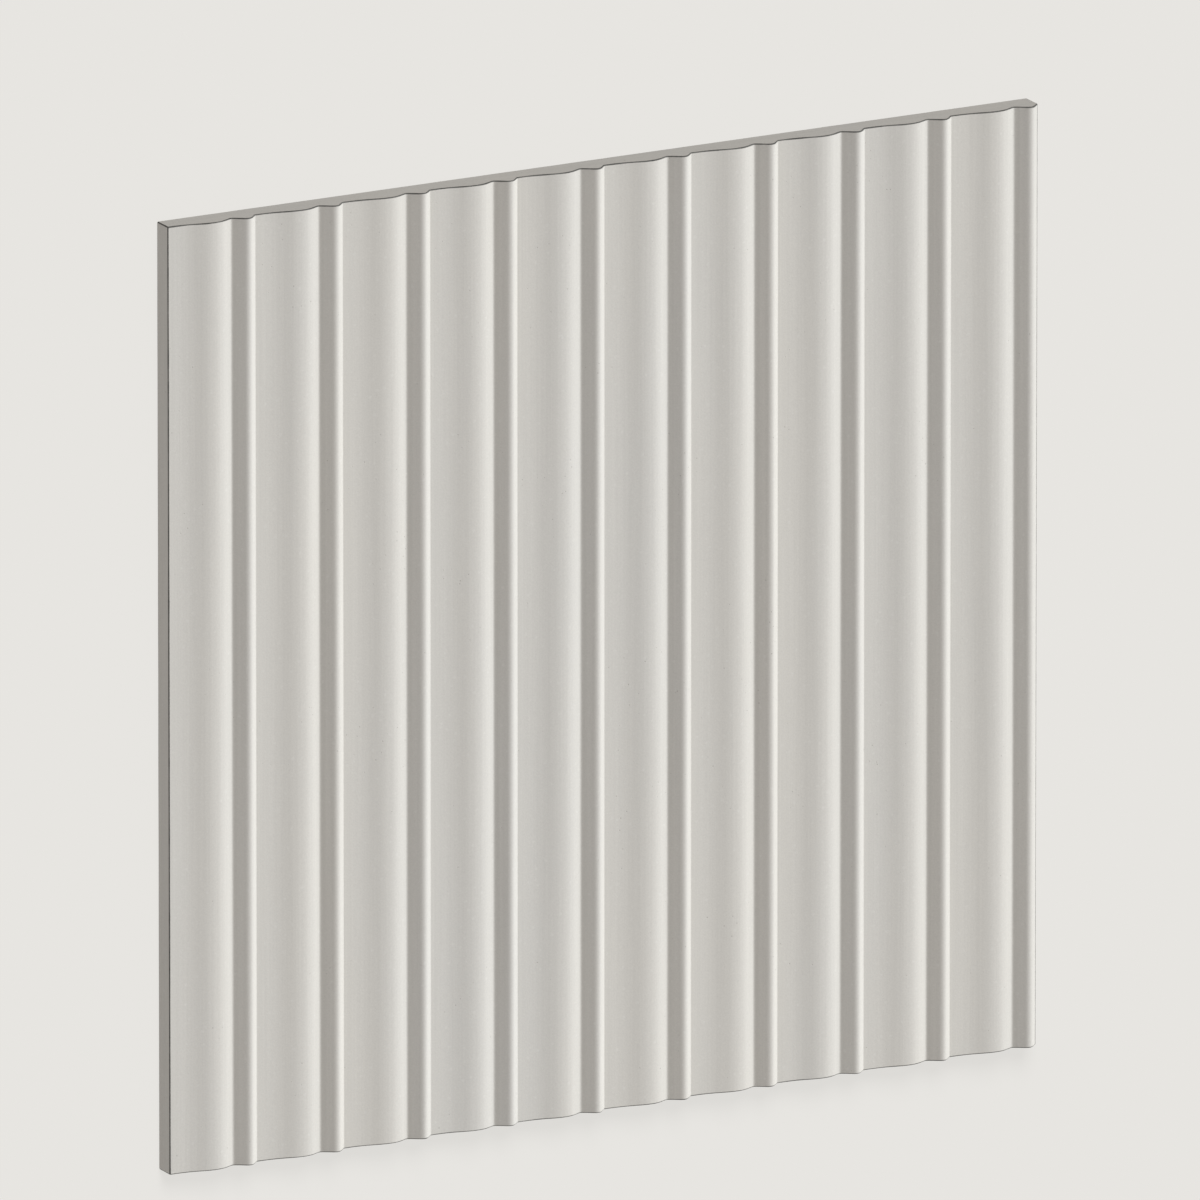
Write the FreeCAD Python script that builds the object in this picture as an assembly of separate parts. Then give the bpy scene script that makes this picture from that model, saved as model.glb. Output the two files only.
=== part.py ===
# Fluted stone wall panel, cut from one slab, lying on its back with the flutes up.
# X runs across the flutes, Y along them and Z out of the wall; millimetres.
# The origin is the middle of the back face. One flute is a broad low wave and a
# narrow steeper ridge, and the same flute repeats side by side over the whole width.
import FreeCAD, Part
import math
import os

# Panel
FLUTE_COUNT = 10
PANEL_LENGTH = 600.0  # along the flutes

# Thicknesses, from the back face
GROOVE_THICKNESS = 14.3
WAVE_CREST_THICKNESS = 18.3
RIDGE_CREST_THICKNESS = 19.4

# Widths of the four flanks of one flute, in their order across it
WAVE_RISE_WIDTH = 31.0
WAVE_FALL_WIDTH = 12.5
RIDGE_RISE_WIDTH = 9.8
RIDGE_FALL_WIDTH = 6.7

# Steepness of each flank where it meets its groove, as height over width
WAVE_RISE_FOOT_SLOPE = 0.0
WAVE_FALL_FOOT_SLOPE = 0.35
RIDGE_RISE_FOOT_SLOPE = 0.5
RIDGE_FALL_FOOT_SLOPE = 1.0

# How far a flank keeps its direction at its foot and at its crest, as a share of its own width
WAVE_RISE_FOOT_REACH = 0.57
WAVE_RISE_CREST_REACH = 0.31
WAVE_FALL_FOOT_REACH = 0.25
WAVE_FALL_CREST_REACH = 0.5
RIDGE_RISE_FOOT_REACH = 0.5
RIDGE_RISE_CREST_REACH = 0.28
RIDGE_FALL_FOOT_REACH = 0.5
RIDGE_FALL_CREST_REACH = 0.34

# Radius left in the bottom of the groove inside a flute, and of the one between two flutes
MIDDLE_GROOVE_RADIUS = 2.0
SIDE_GROOVE_RADIUS = 0.6

FLUTE_PITCH = WAVE_RISE_WIDTH + WAVE_FALL_WIDTH + RIDGE_RISE_WIDTH + RIDGE_FALL_WIDTH
PANEL_WIDTH = FLUTE_COUNT * FLUTE_PITCH
LEFT_EDGE = -PANEL_WIDTH / 2
RIGHT_EDGE = PANEL_WIDTH / 2


def section_point(across, thickness):
    """A point of the panel's cross-section, in the plane of its lower cut end."""
    return FreeCAD.Vector(across, -PANEL_LENGTH / 2, thickness)


def groove_setback(left_slope, right_slope, radius):
    """How far from a groove's sharp corner its radius meets the flanks on both sides."""
    turn = math.atan(left_slope) + math.atan(right_slope)
    return radius * math.tan(turn / 2)


def flank_foot(groove, side, slope, setback):
    """Where a flank leaves a groove's radius; side is -1 left of the groove and 1 right of it."""
    angle = math.atan(slope)
    return groove + FreeCAD.Vector(side * math.cos(angle), 0, math.sin(angle)) * setback


def flank(foot, crest, foot_slope, foot_reach, crest_reach):
    """The S-shaped curve between a flank's foot and its crest, where it runs out level."""
    width = crest.x - foot.x
    foot_handle = FreeCAD.Vector(foot_reach * width, 0, foot_slope * foot_reach * abs(width))
    crest_handle = FreeCAD.Vector(crest_reach * width, 0, 0)
    curve = Part.BezierCurve()
    curve.setPoles([foot, foot + foot_handle, crest - crest_handle, crest])
    return curve.toShape()


def groove_round(groove, left_slope, right_slope, radius):
    """The arc in the bottom of a groove, tangent to the flanks on both sides."""
    setback = groove_setback(left_slope, right_slope, radius)
    left_angle = math.atan(left_slope)
    left_foot = flank_foot(groove, -1, left_slope, setback)
    right_foot = flank_foot(groove, 1, right_slope, setback)
    centre = left_foot + FreeCAD.Vector(math.sin(left_angle), 0, math.cos(left_angle)) * radius
    to_corner = groove - centre
    bottom = centre + to_corner * (radius / to_corner.Length)
    return Part.Arc(left_foot, bottom, right_foot).toShape()


def flute(start):
    """One flute's outline, from where it leaves its left groove to where it meets its right one."""
    side_setback = groove_setback(RIDGE_FALL_FOOT_SLOPE, WAVE_RISE_FOOT_SLOPE, SIDE_GROOVE_RADIUS)
    middle_setback = groove_setback(WAVE_FALL_FOOT_SLOPE, RIDGE_RISE_FOOT_SLOPE, MIDDLE_GROOVE_RADIUS)
    left_groove = section_point(start, GROOVE_THICKNESS)
    wave_crest = section_point(start + WAVE_RISE_WIDTH, WAVE_CREST_THICKNESS)
    middle_groove = section_point(wave_crest.x + WAVE_FALL_WIDTH, GROOVE_THICKNESS)
    ridge_crest = section_point(middle_groove.x + RIDGE_RISE_WIDTH, RIDGE_CREST_THICKNESS)
    right_groove = section_point(start + FLUTE_PITCH, GROOVE_THICKNESS)
    return [
        flank(flank_foot(left_groove, 1, WAVE_RISE_FOOT_SLOPE, side_setback), wave_crest,
              WAVE_RISE_FOOT_SLOPE, WAVE_RISE_FOOT_REACH, WAVE_RISE_CREST_REACH),
        flank(flank_foot(middle_groove, -1, WAVE_FALL_FOOT_SLOPE, middle_setback), wave_crest,
              WAVE_FALL_FOOT_SLOPE, WAVE_FALL_FOOT_REACH, WAVE_FALL_CREST_REACH),
        groove_round(middle_groove, WAVE_FALL_FOOT_SLOPE, RIDGE_RISE_FOOT_SLOPE, MIDDLE_GROOVE_RADIUS),
        flank(flank_foot(middle_groove, 1, RIDGE_RISE_FOOT_SLOPE, middle_setback), ridge_crest,
              RIDGE_RISE_FOOT_SLOPE, RIDGE_RISE_FOOT_REACH, RIDGE_RISE_CREST_REACH),
        flank(flank_foot(right_groove, -1, RIDGE_FALL_FOOT_SLOPE, side_setback), ridge_crest,
              RIDGE_FALL_FOOT_SLOPE, RIDGE_FALL_FOOT_REACH, RIDGE_FALL_CREST_REACH),
    ]


def fluted_face():
    """The outline of the fluted side, straight to the saw cut at the panel's two side edges."""
    setback = groove_setback(RIDGE_FALL_FOOT_SLOPE, WAVE_RISE_FOOT_SLOPE, SIDE_GROOVE_RADIUS)
    left_corner = section_point(LEFT_EDGE, GROOVE_THICKNESS)
    right_corner = section_point(RIGHT_EDGE, GROOVE_THICKNESS)
    outline = [Part.makeLine(left_corner, flank_foot(left_corner, 1, WAVE_RISE_FOOT_SLOPE, setback))]
    for number in range(FLUTE_COUNT):
        start = LEFT_EDGE + number * FLUTE_PITCH
        if number > 0:
            groove = section_point(start, GROOVE_THICKNESS)
            outline.append(
                groove_round(groove, RIDGE_FALL_FOOT_SLOPE, WAVE_RISE_FOOT_SLOPE, SIDE_GROOVE_RADIUS))
        outline += flute(start)
    outline.append(
        Part.makeLine(flank_foot(right_corner, -1, RIDGE_FALL_FOOT_SLOPE, setback), right_corner))
    return outline


def side_and_back_faces():
    """The outline of the right side, the back and the left side, all sawn flat."""
    corners = [
        section_point(RIGHT_EDGE, GROOVE_THICKNESS),
        section_point(RIGHT_EDGE, 0),
        section_point(LEFT_EDGE, 0),
        section_point(LEFT_EDGE, GROOVE_THICKNESS),
    ]
    return [Part.makeLine(corner, following) for corner, following in zip(corners, corners[1:])]


def fluted_panel():
    """The whole panel: its cross-section drawn out along the flutes."""
    section = Part.Face(Part.Wire(fluted_face() + side_and_back_faces()))
    return section.extrude(FreeCAD.Vector(0, PANEL_LENGTH, 0))


os.makedirs("parts", exist_ok=True)
panel = fluted_panel()
panel.exportStep("parts/fluted_panel.step")
print("size", panel.optimalBoundingBox(), "volume", panel.Volume)
print("closed and valid", panel.isValid(), "solids", len(panel.Solids), "faces", len(panel.Faces))
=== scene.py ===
# Fluted stone wall panel, lying on its back on a pale floor with its flutes up.
# Metres. X runs across the flutes, Y along them and Z out of the face.
import math

import bpy
import numpy as np
from mathutils import Matrix, Vector


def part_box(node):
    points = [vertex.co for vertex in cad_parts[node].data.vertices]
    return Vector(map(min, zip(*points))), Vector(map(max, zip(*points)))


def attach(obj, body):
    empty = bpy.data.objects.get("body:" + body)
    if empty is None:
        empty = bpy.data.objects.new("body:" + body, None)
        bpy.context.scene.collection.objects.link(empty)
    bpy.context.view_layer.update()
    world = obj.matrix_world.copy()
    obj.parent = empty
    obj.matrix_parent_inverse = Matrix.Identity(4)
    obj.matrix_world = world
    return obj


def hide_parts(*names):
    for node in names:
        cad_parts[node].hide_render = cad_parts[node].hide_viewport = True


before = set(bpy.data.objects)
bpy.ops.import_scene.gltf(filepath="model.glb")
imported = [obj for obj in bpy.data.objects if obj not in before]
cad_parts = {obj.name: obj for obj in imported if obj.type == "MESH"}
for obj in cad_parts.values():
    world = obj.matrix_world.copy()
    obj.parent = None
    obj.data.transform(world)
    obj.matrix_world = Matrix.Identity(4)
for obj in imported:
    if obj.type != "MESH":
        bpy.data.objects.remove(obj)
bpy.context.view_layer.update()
scene = bpy.context.scene
mm = 0.001
panelLow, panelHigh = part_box("fluted_panel")
fluteCount = 10
flutePitch = (panelHigh[0] - panelLow[0]) / fluteCount

# Camera. The view is close to a parallel one, so the lens is very long and the camera stands far off.
cameraLook = dict(
    turn=27.97,  # degrees to the left of straight ahead
    lift=15.97,  # degrees towards the panel's upper end
    span=0.733,  # how much of the panel's middle the picture takes in
    aside=0.004,  # the picture's middle, right of the panel's
    above=0.020,  # and above it
    lens=1640.0,
    sensor=36.0,  # millimetres, as the lens
)


def setCamera(look):
    turn = math.radians(look["turn"])
    lift = math.radians(look["lift"])
    back = Vector((-math.sin(turn) * math.cos(lift), math.sin(lift), math.cos(turn) * math.cos(lift)))
    right = Vector((math.cos(turn), 0, math.sin(turn)))
    up = back.cross(right)
    data = bpy.data.cameras.new("panelCamera")
    data.lens = look["lens"]
    data.sensor_width = look["sensor"]
    distance = look["span"] * look["lens"] / look["sensor"]
    data.clip_start = distance / 10
    data.clip_end = distance * 2
    camera = bpy.data.objects.new("panelCamera", data)
    scene.collection.objects.link(camera)
    turned = Matrix((right, up, back)).transposed().to_4x4()
    place = right * look["aside"] + up * look["above"] + back * distance
    camera.matrix_world = Matrix.Translation(place) @ turned
    scene.camera = camera


setCamera(cameraLook)
print("camera set")


# Shader maths: a wire is a node's output, and Python's operators on it add Math nodes.
class Wire:
    def __init__(self, tree, socket):
        self.tree = tree
        self.socket = socket

    def reckon(self, operation, first, second):
        node = self.tree.nodes.new("ShaderNodeMath")
        node.operation = operation
        for place, value in enumerate((first, second)):
            if isinstance(value, Wire):
                self.tree.links.new(value.socket, node.inputs[place])
            else:
                node.inputs[place].default_value = value
        return Wire(self.tree, node.outputs[0])

    def __add__(self, other):
        return self.reckon("ADD", self, other)

    def __sub__(self, other):
        return self.reckon("SUBTRACT", self, other)

    def __rsub__(self, other):
        return self.reckon("SUBTRACT", other, self)

    def __mul__(self, other):
        return self.reckon("MULTIPLY", self, other)

    def max(self, other):
        return self.reckon("MAXIMUM", self, other)

    __radd__ = __add__
    __rmul__ = __mul__


# Node desk: it makes the nodes of one owner, which is a material or the world.
class Desk:
    def __init__(self, owner):
        owner.use_nodes = True
        self.tree = owner.node_tree
        self.tree.nodes.clear()

    # settings are set first, then the sockets, which are named or numbered and take a value or a wire
    def add(self, kind, settings=None, sockets=None, output=0):
        node = self.tree.nodes.new("ShaderNode" + kind)
        for name, value in (settings or {}).items():
            if name == "stops":
                self.setStops(node.color_ramp, value)
            else:
                setattr(node, name, value)
        for name, value in (sockets or {}).items():
            if isinstance(value, Wire):
                self.tree.links.new(value.socket, self.find(node, name))
            else:
                self.find(node, name).default_value = value
        return Wire(self.tree, node.outputs[output]) if node.outputs else None

    def find(self, node, name):
        if isinstance(name, int):
            return node.inputs[name]
        return next(s for s in node.inputs if name in (s.name, s.identifier) and s.enabled)

    def setStops(self, ramp, stops):  # each stop is a place and a grey level
        for number, (place, level) in enumerate(stops):
            if number < 2:
                stop = ramp.elements[number]
                stop.position = place
            else:
                stop = ramp.elements.new(place)
            stop.color = (level, level, level, 1)

    def ramp(self, wire, *stops):
        return self.add("ValToRGB", {"stops": stops}, {"Fac": wire})

    def mix(self, factor, first, second):
        return self.add(
            "Mix",
            {"data_type": "RGBA"},
            {"Factor_Float": factor, "A_Color": first, "B_Color": second},
            output=2,
        )

    def close(self, kind, wire):
        self.add(kind, None, {"Surface": wire})


# Stone. One fine-grained pale limestone, milled on its fluted face and sawn on every other.
# Stops are places on a pattern with the grey level there, and reliefs run from lowest to highest.
stoneLook = dict(
    tone=(0.62, 0.606, 0.568, 1),
    warmTone=(0.628, 0.611, 0.569, 1),
    coolTone=(0.613, 0.602, 0.569, 1),
    fleckTone=(0.69, 0.68, 0.645, 1),
    poreTone=(0.40, 0.385, 0.35, 1),
    # the colour that the painted shade in the grooves darkens the stone towards
    grooveShadeTone=(0.40, 0.387, 0.352, 1),
    cloudSize=75 * mm,
    bedding=(1, 0.12, 1),  # the clouds lie in beds that run along the flutes
    mottleSize=9 * mm,
    mottleShare=0.35,
    softStops=((0.35, 0.0), (0.65, 1.0)),  # for the clouds and the mottle
    grainSize=1.1 * mm,
    grainTone=0.20,  # how much it lightens and darkens the stone
    grainRough=0.12,
    grainRelief=0.04 * mm,
    fleckSize=7 * mm,
    fleckShare=0.35,
    fleckStops=((0.10, 1.0), (0.17, 0.0)),  # from a fleck's middle outwards
    poreSize=5 * mm,
    poreShare=0.8,
    poreStops=((0.045, 1.0), (0.085, 0.0)),  # from a pore's middle outwards
    poreFieldSize=36 * mm,  # the pores lie in patches
    poreFieldStops=((0.50, 0.0), (0.62, 1.0)),
    poreRough=0.1,
    poreRelief=0.12 * mm,
    grooveShadePatches=0.3,  # how unevenly the painted shade lies along a groove, as a share
    grooveShadeStops=(  # across a flute: how strongly painted shade darkens it there, most in its two grooves
        (0.0, 1.0), (0.025, 0.6), (0.06, 0.4), (0.14, 0.1), (0.2, 0.0), (0.71, 0.0),
        (0.727, 0.55), (0.742, 0.85), (0.76, 0.65), (0.79, 0.0), (0.979, 0.0), (1.0, 1.0),
    ),
)
# Each finish: stretch draws the tool's lines out along the axis that it is smallest in, lineTone is how
# much they lighten and darken the stone, and level is the share of the stone's tone that is left, under
# 1 where an arris has darkened.
# grooveShade is how strongly painted shade darkens a finish's grooves
finishes = dict(
    milledFace=dict(
        stretch=(1, 0.012, 1), lineSize=1.5 * mm, lineTone=0.088, lineRelief=0.02 * mm,
        rough=0.72, level=1.0, grooveShade=0.26,
    ),
    sawnEnd=dict(
        stretch=(0.04, 1, 1), lineSize=2.2 * mm, lineTone=0.12, lineRelief=0.04 * mm,
        rough=0.85, level=1.0, grooveShade=0.0,
    ),
    sawnSide=dict(
        stretch=(1, 0.04, 1), lineSize=2.2 * mm, lineTone=0.12, lineRelief=0.04 * mm,
        rough=0.85, level=1.0, grooveShade=0.0,
    ),
    sawnBack=dict(
        stretch=(0.03, 1, 1), lineSize=3.5 * mm, lineTone=0.12, lineRelief=0.06 * mm,
        rough=0.85, level=1.0, grooveShade=0.0,
    ),
    arrisShoulder=dict(
        stretch=(1, 1, 1), lineSize=9 * mm, lineTone=0.48, lineRelief=0.0,
        rough=0.80, level=0.44, grooveShade=0.0,
    ),
    arrisCore=dict(
        stretch=(1, 1, 1), lineSize=9 * mm, lineTone=0.24, lineRelief=0.0,
        rough=0.80, level=0.13, grooveShade=0.0,
    ),
)


def makeStone(name, look, finish):
    material = bpy.data.materials.new(name)
    desk = Desk(material)
    place = desk.add("TexCoord", output=3)  # the panel's own coordinates, in metres

    def noise(size, detail=2.0, rough=0.5, where=place):
        return desk.add(
            "TexNoise",
            None,
            {"Vector": where, "Scale": 1 / size, "Detail": detail, "Roughness": rough},
        )

    def cells(size):
        return desk.add("TexVoronoi", None, {"Vector": place, "Scale": 1 / size, "Randomness": 1.0})

    beds = desk.add("VectorMath", {"operation": "MULTIPLY"}, {0: place, 1: look["bedding"]})
    cloud = desk.ramp(noise(look["cloudSize"], detail=3.0, rough=0.55, where=beds), *look["softStops"])
    mottle = desk.ramp(noise(look["mottleSize"], detail=3.0, rough=0.6), *look["softStops"])
    grain = noise(look["grainSize"], detail=3.0, rough=0.65)
    bed = desk.mix(cloud, look["coolTone"], look["warmTone"])
    colour = desk.mix(mottle * look["mottleShare"], bed, look["tone"])

    # Lines that the tool left, drawn out along its path
    drawn = desk.add("VectorMath", {"operation": "MULTIPLY"}, {0: place, 1: finish["stretch"]})
    lines = noise(finish["lineSize"], where=drawn)

    # Pale shell flecks and a few open pores
    fleckSpot = desk.ramp(cells(look["fleckSize"]), *look["fleckStops"])
    poreSpot = desk.ramp(cells(look["poreSize"]), *look["poreStops"])
    poreField = desk.ramp(noise(look["poreFieldSize"]), *look["poreFieldStops"])
    pore = poreSpot * poreField
    colour = desk.mix(fleckSpot * look["fleckShare"], colour, look["fleckTone"])
    colour = desk.mix(pore * look["poreShare"], colour, look["poreTone"])

    if finish["grooveShade"]:  # a little painted shade, in the grooves alone
        across = desk.add("SeparateXYZ", None, {"Vector": place}) * (1 / flutePitch)
        across = across - panelLow[0] / flutePitch
        grooveShade = desk.ramp(desk.add("Math", {"operation": "FRACT"}, {0: across}), *look["grooveShadeStops"])
        uneven = 1 - look["grooveShadePatches"] / 2 + cloud * look["grooveShadePatches"]
        colour = desk.mix(grooveShade * uneven * finish["grooveShade"], colour, look["grooveShadeTone"])

    # Grain and lines swing to both sides of the stone's tone and of its surface
    shade = finish["level"] + (grain - 0.5) * look["grainTone"] + (lines - 0.5) * finish["lineTone"]
    colour = desk.add("VectorMath", {"operation": "SCALE"}, {0: colour, "Scale": shade})
    relief = (grain - 0.5) * look["grainRelief"] + (lines - 0.5) * finish["lineRelief"]
    relief = relief - pore * look["poreRelief"]
    bump = desk.add("Bump", None, {"Strength": 1.0, "Distance": 1.0, "Height": relief})
    rough = (grain - 0.5) * look["grainRough"] + pore * look["poreRough"] + finish["rough"]
    surface = desk.add(
        "BsdfPrincipled",
        None,
        {"Base Color": colour, "Roughness": rough, "Normal": bump, "IOR": 1.5, "Specular IOR Level": 0.3},
    )
    desk.close("OutputMaterial", surface)
    return material


# Panel. The flute's sizes are the solid's own, and each outer edge is rubbed down to a small arris.
panelSizes = dict(
    groove=14.3 * mm,  # thicknesses from the back; the ridge's crest is the frame's own height
    waveCrest=18.3 * mm,
    waveRise=31.0 * mm,  # widths of a flute's first three flanks; the fourth has the rest of the pitch
    waveFall=12.5 * mm,
    ridgeRise=9.8 * mm,
    middleRadius=2.0 * mm,  # in the bottom of the groove inside a flute, and of the one between two
    sideRadius=0.6 * mm,
    arris=0.72 * mm,
    arrisDrift=0.2,  # how much the arris narrows and widens, as a share
    driftPaces=(20, 260),  # slowest and fastest, in radians a metre
    driftWaves=4,
    lowerEndSeed=12,
    upperEndSeed=10,
    sideSeeds=(20, 21, 22, 23),  # of the four arrises along the flutes
    cornerArris=0.9 * mm,  # where two arrises meet
    support=1.1 * mm,  # a strip of flat beside each arris, so that it alone looks round
    stationGap=25 * mm,  # between cross-sections
    stationStart=4.4 * mm,  # from an end to the first of them that is evenly spaced
)
flankShapes = dict(  # slope at the foot, then how far the foot's and the crest's directions carry
    waveRise=(0.0, 0.57, 0.31),
    waveFall=(0.35, 0.25, 0.50),
    ridgeRise=(0.5, 0.50, 0.28),
    ridgeFall=(1.0, 0.50, 0.34),
)
flankSteps = dict(waveRise=18, waveFall=14, ridgeRise=14, ridgeFall=12)  # straight steps in each flank
arcSteps = 4  # along a groove's radius, and along half of an arris


def flankPoints(name, foot, crest):  # from the foot to the crest
    slope, footReach, crestReach = flankShapes[name]
    width = crest[0] - foot[0]
    handles = np.array([
        foot,
        (foot[0] + footReach * width, foot[1] + slope * footReach * abs(width)),
        (crest[0] - crestReach * width, crest[1]),
        crest,
    ])
    t = np.linspace(0, 1, flankSteps[name] + 1)[:, None]
    weights = np.hstack([(1 - t) ** 3, 3 * t * (1 - t) ** 2, 3 * t ** 2 * (1 - t), t ** 3])
    return weights @ handles


def roundCorner(corner, toFirst, toLast, radius, steps):  # an arc from one side of a corner to the other
    corner = np.array(corner, float)
    toFirst = np.array(toFirst, float) / np.linalg.norm(toFirst)
    toLast = np.array(toLast, float) / np.linalg.norm(toLast)
    inside = math.acos(float(toFirst @ toLast))
    middle = (toFirst + toLast) / np.linalg.norm(toFirst + toLast)
    centre = corner + middle * radius / math.sin(inside / 2)
    first = corner + toFirst * radius / math.tan(inside / 2) - centre
    last = corner + toLast * radius / math.tan(inside / 2) - centre
    turn = math.pi - inside
    t = np.linspace(0, 1, steps + 1)[:, None]
    return centre + (first * np.sin((1 - t) * turn) + last * np.sin(t * turn)) / math.sin(turn)


def flutedLine(sizes):  # the face's cross-section from the left side to the right one, corners left sharp
    slopes = {name: shape[0] for name, shape in flankShapes.items()}

    def grooveArc(x, leftSlope, rightSlope, radius):
        return roundCorner((x, sizes["groove"]), (-1, leftSlope), (1, rightSlope), radius, arcSteps)

    def sideArc(x):  # between two flutes
        return grooveArc(x, slopes["ridgeFall"], slopes["waveRise"], sizes["sideRadius"])

    line = [np.array([[panelLow[0], sizes["groove"]]])]
    for number in range(fluteCount):
        start = panelLow[0] + number * flutePitch
        middle = start + sizes["waveRise"] + sizes["waveFall"]
        waveCrest = (start + sizes["waveRise"], sizes["waveCrest"])
        ridgeCrest = (middle + sizes["ridgeRise"], panelHigh[2])
        arc, nextArc = sideArc(start), sideArc(start + flutePitch)
        middleArc = grooveArc(middle, slopes["waveFall"], slopes["ridgeRise"], sizes["middleRadius"])
        rise = flankPoints("waveRise", arc[-1], waveCrest)
        if number:
            line.append(arc[:-1])
        else:
            rise[0, 0] = panelLow[0] + sizes["support"]  # level there, so the foot can clear the arris
        line.append(rise[:-1])
        line.append(flankPoints("waveFall", middleArc[0], waveCrest)[::-1][:-1])
        line.append(middleArc[:-1])
        line.append(flankPoints("ridgeRise", middleArc[-1], ridgeCrest)[:-1])
        line.append(flankPoints("ridgeFall", nextArc[0], ridgeCrest)[::-1][:-1])
    line.append(np.array([[panelHigh[0], sizes["groove"]]]))
    return np.vstack(line)


def sectionRows(line, arris, support):  # top, right, bottom and left rows of one cross-section
    left, right = line[0], line[-1]
    lowLeft, lowRight = np.array([left[0], 0.0]), np.array([right[0], 0.0])
    half = arcSteps  # neighbouring rows meet in the middle of an arris
    arcs = (
        roundCorner(left, (0, -1), line[1] - left, arris[0], 2 * half),
        roundCorner(right, line[-2] - right, (0, -1), arris[1], 2 * half),
        roundCorner(lowRight, (0, 1), (-1, 0), arris[2], 2 * half),
        roundCorner(lowLeft, (1, 0), (0, 1), arris[3], 2 * half),
    )
    span = (line[1:-1, 0] - line[1, 0]) / (line[-2, 0] - line[1, 0])
    back = np.column_stack([left[0] + support + span * (right[0] - left[0] - 2 * support), 0 * span])
    rise = np.array([support, left[1] / 2, left[1] - support])[:, None]
    top = np.vstack([arcs[0][half:], line[1:-1], arcs[1][:half + 1]])
    rightSide = np.vstack([arcs[1][half:], lowRight + rise[::-1] * (0, 1), arcs[2][:half + 1]])
    bottom = np.vstack([arcs[2][half:], back[::-1], arcs[3][:half + 1]])
    leftSide = np.vstack([arcs[3][half:], lowLeft + rise * (0, 1), arcs[0][:half + 1]])
    return top, rightSide, bottom, leftSide


def joinRows(rows):
    return np.vstack([row[:-1] for row in rows])


def shrinkLoop(loop, amount):  # each point moved inward, square to the outline
    ahead = np.roll(loop, -1, axis=0) - loop
    ahead /= np.linalg.norm(ahead, axis=1)[:, None]
    behind = np.roll(ahead, 1, axis=0)
    inwards = np.column_stack([ahead[:, 1] + behind[:, 1], -ahead[:, 0] - behind[:, 0]])
    inwards /= np.linalg.norm(inwards, axis=1)[:, None]
    return loop + inwards * np.asarray(amount)[:, None]


def drift(places, seed, sizes):  # a slow uneven wander round 1
    made = np.random.default_rng(seed)
    paces, count = sizes["driftPaces"], sizes["driftWaves"]
    waves = [(made.uniform(*paces), made.uniform(0, 6.3)) for _ in range(count)]  # 6.3 is a whole turn
    wander = sum(np.sin(np.asarray(places) * pace + phase) for pace, phase in waves) / count
    return 1 + sizes["arrisDrift"] * wander


# The cross-sections from the lower end to the upper one, and how many strips a top and a side row have
def panelRings(sizes):
    line = flutedLine(sizes)
    arris, support, start = sizes["arris"], sizes["support"], sizes["stationStart"]
    corner = joinRows(sectionRows(line, [sizes["cornerArris"]] * 4, support))
    path = corner[:, 0] + corner[:, 1] * 3  # the wander is three times as quick up the sides
    ends = []
    for inward, end, seed in (
        (1, panelLow[1], sizes["lowerEndSeed"]),
        (-1, panelHigh[1], sizes["upperEndSeed"]),
    ):
        width = arris * drift(path, seed, sizes)
        arc = []
        for turn in np.linspace(0, math.pi / 2, 2 * arcSteps + 1):
            inset = shrinkLoop(corner, width * (1 - math.sin(turn)))
            along = end + inward * width * (1 - math.cos(turn))
            arc.append(np.column_stack([inset[:, 0], along, inset[:, 1]]))
        ends.append(arc)
    count = round((panelHigh[1] - panelLow[1]) / sizes["stationGap"])
    stations = np.linspace(panelLow[1] + start, panelHigh[1] - start, count)
    body = []
    for along in (panelLow[1] + support, *stations, panelHigh[1] - support):
        radii = [arris * drift(along, seed, sizes) for seed in sizes["sideSeeds"]]
        rows = sectionRows(line, radii, support)
        loop = joinRows(rows)
        body.append(np.column_stack([loop[:, 0], np.full(len(loop), along), loop[:, 1]]))
    return ends[0] + body + ends[1][::-1], len(rows[0]) - 1, len(rows[1]) - 1


def stripFinishes(across, tall):  # of the strips round the panel, and of those across an end's arris
    shoulder = ["arrisShoulder"] * (arcSteps // 2)
    arris = shoulder + ["arrisCore"] * arcSteps + shoulder
    strips = []
    rows = ((across, "milledFace"), (tall, "sawnSide"), (across, "sawnBack"), (tall, "sawnSide"))
    for length, finish in rows:
        strips += arris[arcSteps:] + [finish] * (length - 2 * arcSteps) + arris[:arcSteps]
    strips[across - arcSteps - 1] = "arrisShoulder"  # the last ridge's foot, which darkens with its arris
    return strips, arris


def endGrid(ring, first, fresh, across, tall):  # the numbers of one end's points, and its inner points
    grid = np.zeros((tall + 1, across + 1), int)  # its border is the outermost ring
    grid[0] = np.arange(across + 1)
    grid[:, across] = across + np.arange(tall + 1)
    grid[tall] = across + tall + np.arange(across, -1, -1)
    grid[1:, 0] = (2 * across + 2 * tall - np.arange(1, tall + 1)) % len(ring)
    upper, lower = ring[grid[0, 1:-1]], ring[grid[tall, 1:-1]]
    height = ring[grid[:, 0], 2]
    share = ((height[1:-1] - height[-1]) / (height[0] - height[-1]))[:, None, None]
    inner = (upper * share + lower * (1 - share)).reshape(-1, 3)
    grid += first
    grid[1:-1, 1:-1] = fresh + np.arange(len(inner)).reshape(tall - 1, across - 1)
    return grid, inner


def wrapFaces(rings, strips, arris):  # the faces between neighbouring rings, and their finishes
    around = len(rings[0])
    faces, faceFinishes = [], []
    for ring in range(len(rings) - 1):
        low, high = ring * around, (ring + 1) * around
        fromEnd = min(ring, len(rings) - 2 - ring)
        for place in range(around):
            following = (place + 1) % around
            faces.append((low + place, low + following, high + following, high + place))
            faceFinishes.append(arris[fromEnd] if fromEnd < len(arris) else strips[place])
    return faces, faceFinishes


def endFaces(grid, step):  # step is 1 or -1, whichever turns the faces outward
    faces = []
    for near, far in zip(grid, grid[1:]):
        for column in range(len(near) - 1):
            corners = (*near[column:column + 2], *far[column:column + 2][::-1])
            faces.append(tuple(int(number) for number in corners[::step]))
    return faces


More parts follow.
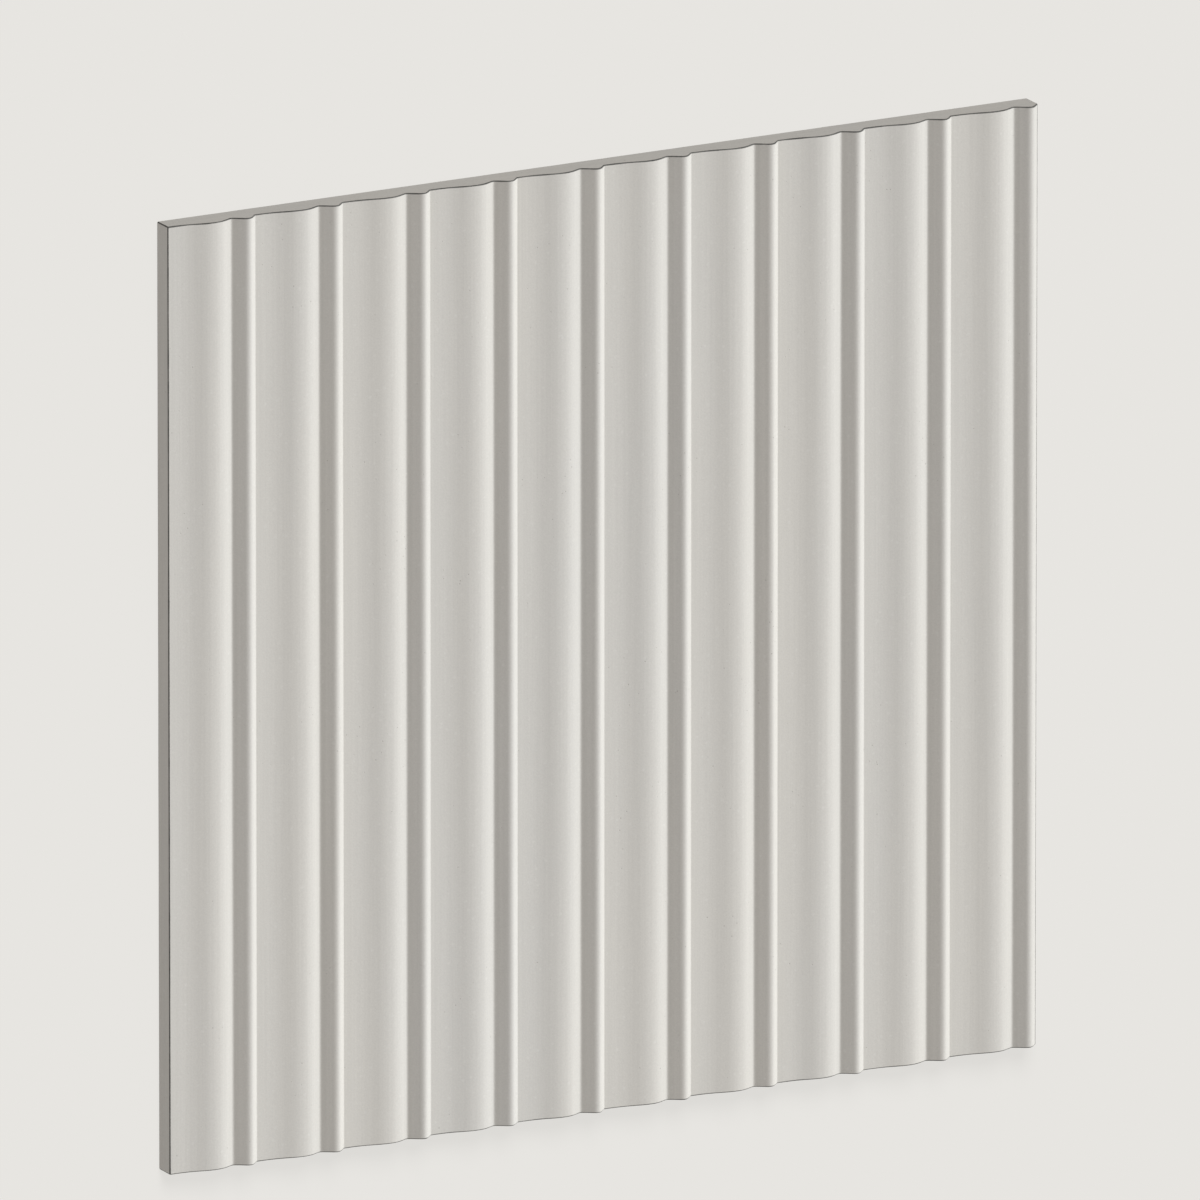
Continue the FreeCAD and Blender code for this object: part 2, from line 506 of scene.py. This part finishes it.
def makePanel(sizes):
    rings, across, tall = panelRings(sizes)
    faces, faceFinishes = wrapFaces(rings, *stripFinishes(across, tall))
    points, around = list(rings), len(rings[0])
    fresh = len(rings) * around  # the number of the next new point
    for ring, step in ((0, -1), (len(rings) - 1, 1)):
        grid, inner = endGrid(rings[ring], ring * around, fresh, across, tall)
        points.append(inner)
        fresh += len(inner)
        sawn = endFaces(grid, step)
        faces += sawn
        faceFinishes += ["sawnEnd"] * len(sawn)

    mesh = bpy.data.meshes.new("flutedPanelStone")
    mesh.from_pydata(np.vstack(points).tolist(), [], faces)
    finishOrder = list(finishes)
    mesh.polygons.foreach_set("material_index", [finishOrder.index(name) for name in faceFinishes])
    mesh.polygons.foreach_set("use_smooth", [True] * len(faces))
    mesh.update()
    for name, finish in finishes.items():
        mesh.materials.append(makeStone(name, stoneLook, finish))
    piece = bpy.data.objects.new("flutedPanelStone", mesh)
    scene.collection.objects.link(piece)
    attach(piece, "root")
    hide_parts("fluted_panel")
    return piece


panel = makePanel(panelSizes)
print("panel made,", len(panel.data.vertices), "points and", len(panel.data.polygons), "faces")

# Studio. The floor and the air behind it show one pale tone, and the floor keeps the panel's shadow.
studioLook = dict(
    paleTone=(0.799, 0.784, 0.753, 1),
    floorSize=24.0,
    floorDepth=0.3 * mm,  # just clear of the panel's back
    floorTone=(0.13, 0.124, 0.118, 1),  # what the floor sends back to the panel
    floorHold=0.86,  # how much of the floor's shown tone no shadow reaches
    floorShown=(0.262, 0.257, 0.247, 1),  # its part that takes light and shadow
    airLight=0.571,
    airTint=(1.0, 0.9725, 0.9615, 1),
    keyTint=(0.979, 1.0, 1.017),
    keyDirection=(0.85, 0.17, 0.49),
    keyPower=2.615,
    keySpread=8.0,
    shadeDirection=(-0.16, 0.72, 0.72),  # a lamp for the floor alone, for the soft shade under the lower end
    shadePower=9.4,
    shadeSpread=30.0,
)


def seenDirectly(desk):  # 1 for the camera and for what gloss or glass shows
    camera = desk.add("LightPath", output=0)
    glossy = Wire(desk.tree, camera.socket.node.outputs["Is Glossy Ray"])
    through = Wire(desk.tree, camera.socket.node.outputs["Is Transmission Ray"])
    return camera.max(glossy).max(through)


def makeFloor(look):
    half, depth = look["floorSize"] / 2, -look["floorDepth"]
    corners = [(x * half, y * half, depth) for x, y in ((-1, -1), (1, -1), (1, 1), (-1, 1))]
    mesh = bpy.data.meshes.new("studioFloor")
    mesh.from_pydata(corners, [], [(0, 1, 2, 3)])
    floor = bpy.data.objects.new("studioFloor", mesh)
    scene.collection.objects.link(floor)
    material = bpy.data.materials.new("studioFloor")
    desk = Desk(material)
    shown = desk.add("BsdfDiffuse", None, {"Color": look["floorShown"]})
    steady = desk.add("Emission", None, {"Color": look["paleTone"]})
    held = desk.add("MixShader", None, {0: look["floorHold"], 1: shown, 2: steady})
    unseen = desk.add("BsdfDiffuse", None, {"Color": look["floorTone"]})
    desk.close("OutputMaterial", desk.add("MixShader", None, {0: seenDirectly(desk), 1: unseen, 2: held}))
    mesh.materials.append(material)
    return floor


def makeAir(look):
    world = bpy.data.worlds.new("studioAir")
    scene.world = world
    desk = Desk(world)
    light = desk.add("Background", None, {"Color": look["airTint"], "Strength": look["airLight"]})
    shown = desk.add("Background", None, {"Color": look["paleTone"], "Strength": 1.0})
    desk.close("OutputWorld", desk.add("MixShader", None, {0: seenDirectly(desk), 1: light, 2: shown}))


def makeSun(name, direction, power, spread):
    data = bpy.data.lights.new(name, "SUN")
    data.energy = power
    data.angle = math.radians(spread)
    sun = bpy.data.objects.new(name, data)
    sun.rotation_euler = Vector(direction).to_track_quat("Z", "Y").to_euler()
    scene.collection.objects.link(sun)
    return sun


def makeLamps(look, floor):
    key = makeSun("keyLight", look["keyDirection"], look["keyPower"], look["keySpread"])
    key.data.color = look["keyTint"]
    key.data.use_shadow = False  # so that no flute darkens the next one
    shade = makeSun("shadeLight", look["shadeDirection"], look["shadePower"], look["shadeSpread"])
    takers = bpy.data.collections.new("shadeTakers")
    takers.objects.link(floor)
    shade.light_linking.receiver_collection = takers


makeLamps(studioLook, makeFloor(studioLook))
makeAir(studioLook)
scene.view_settings.view_transform = "Standard"
print("studio made")
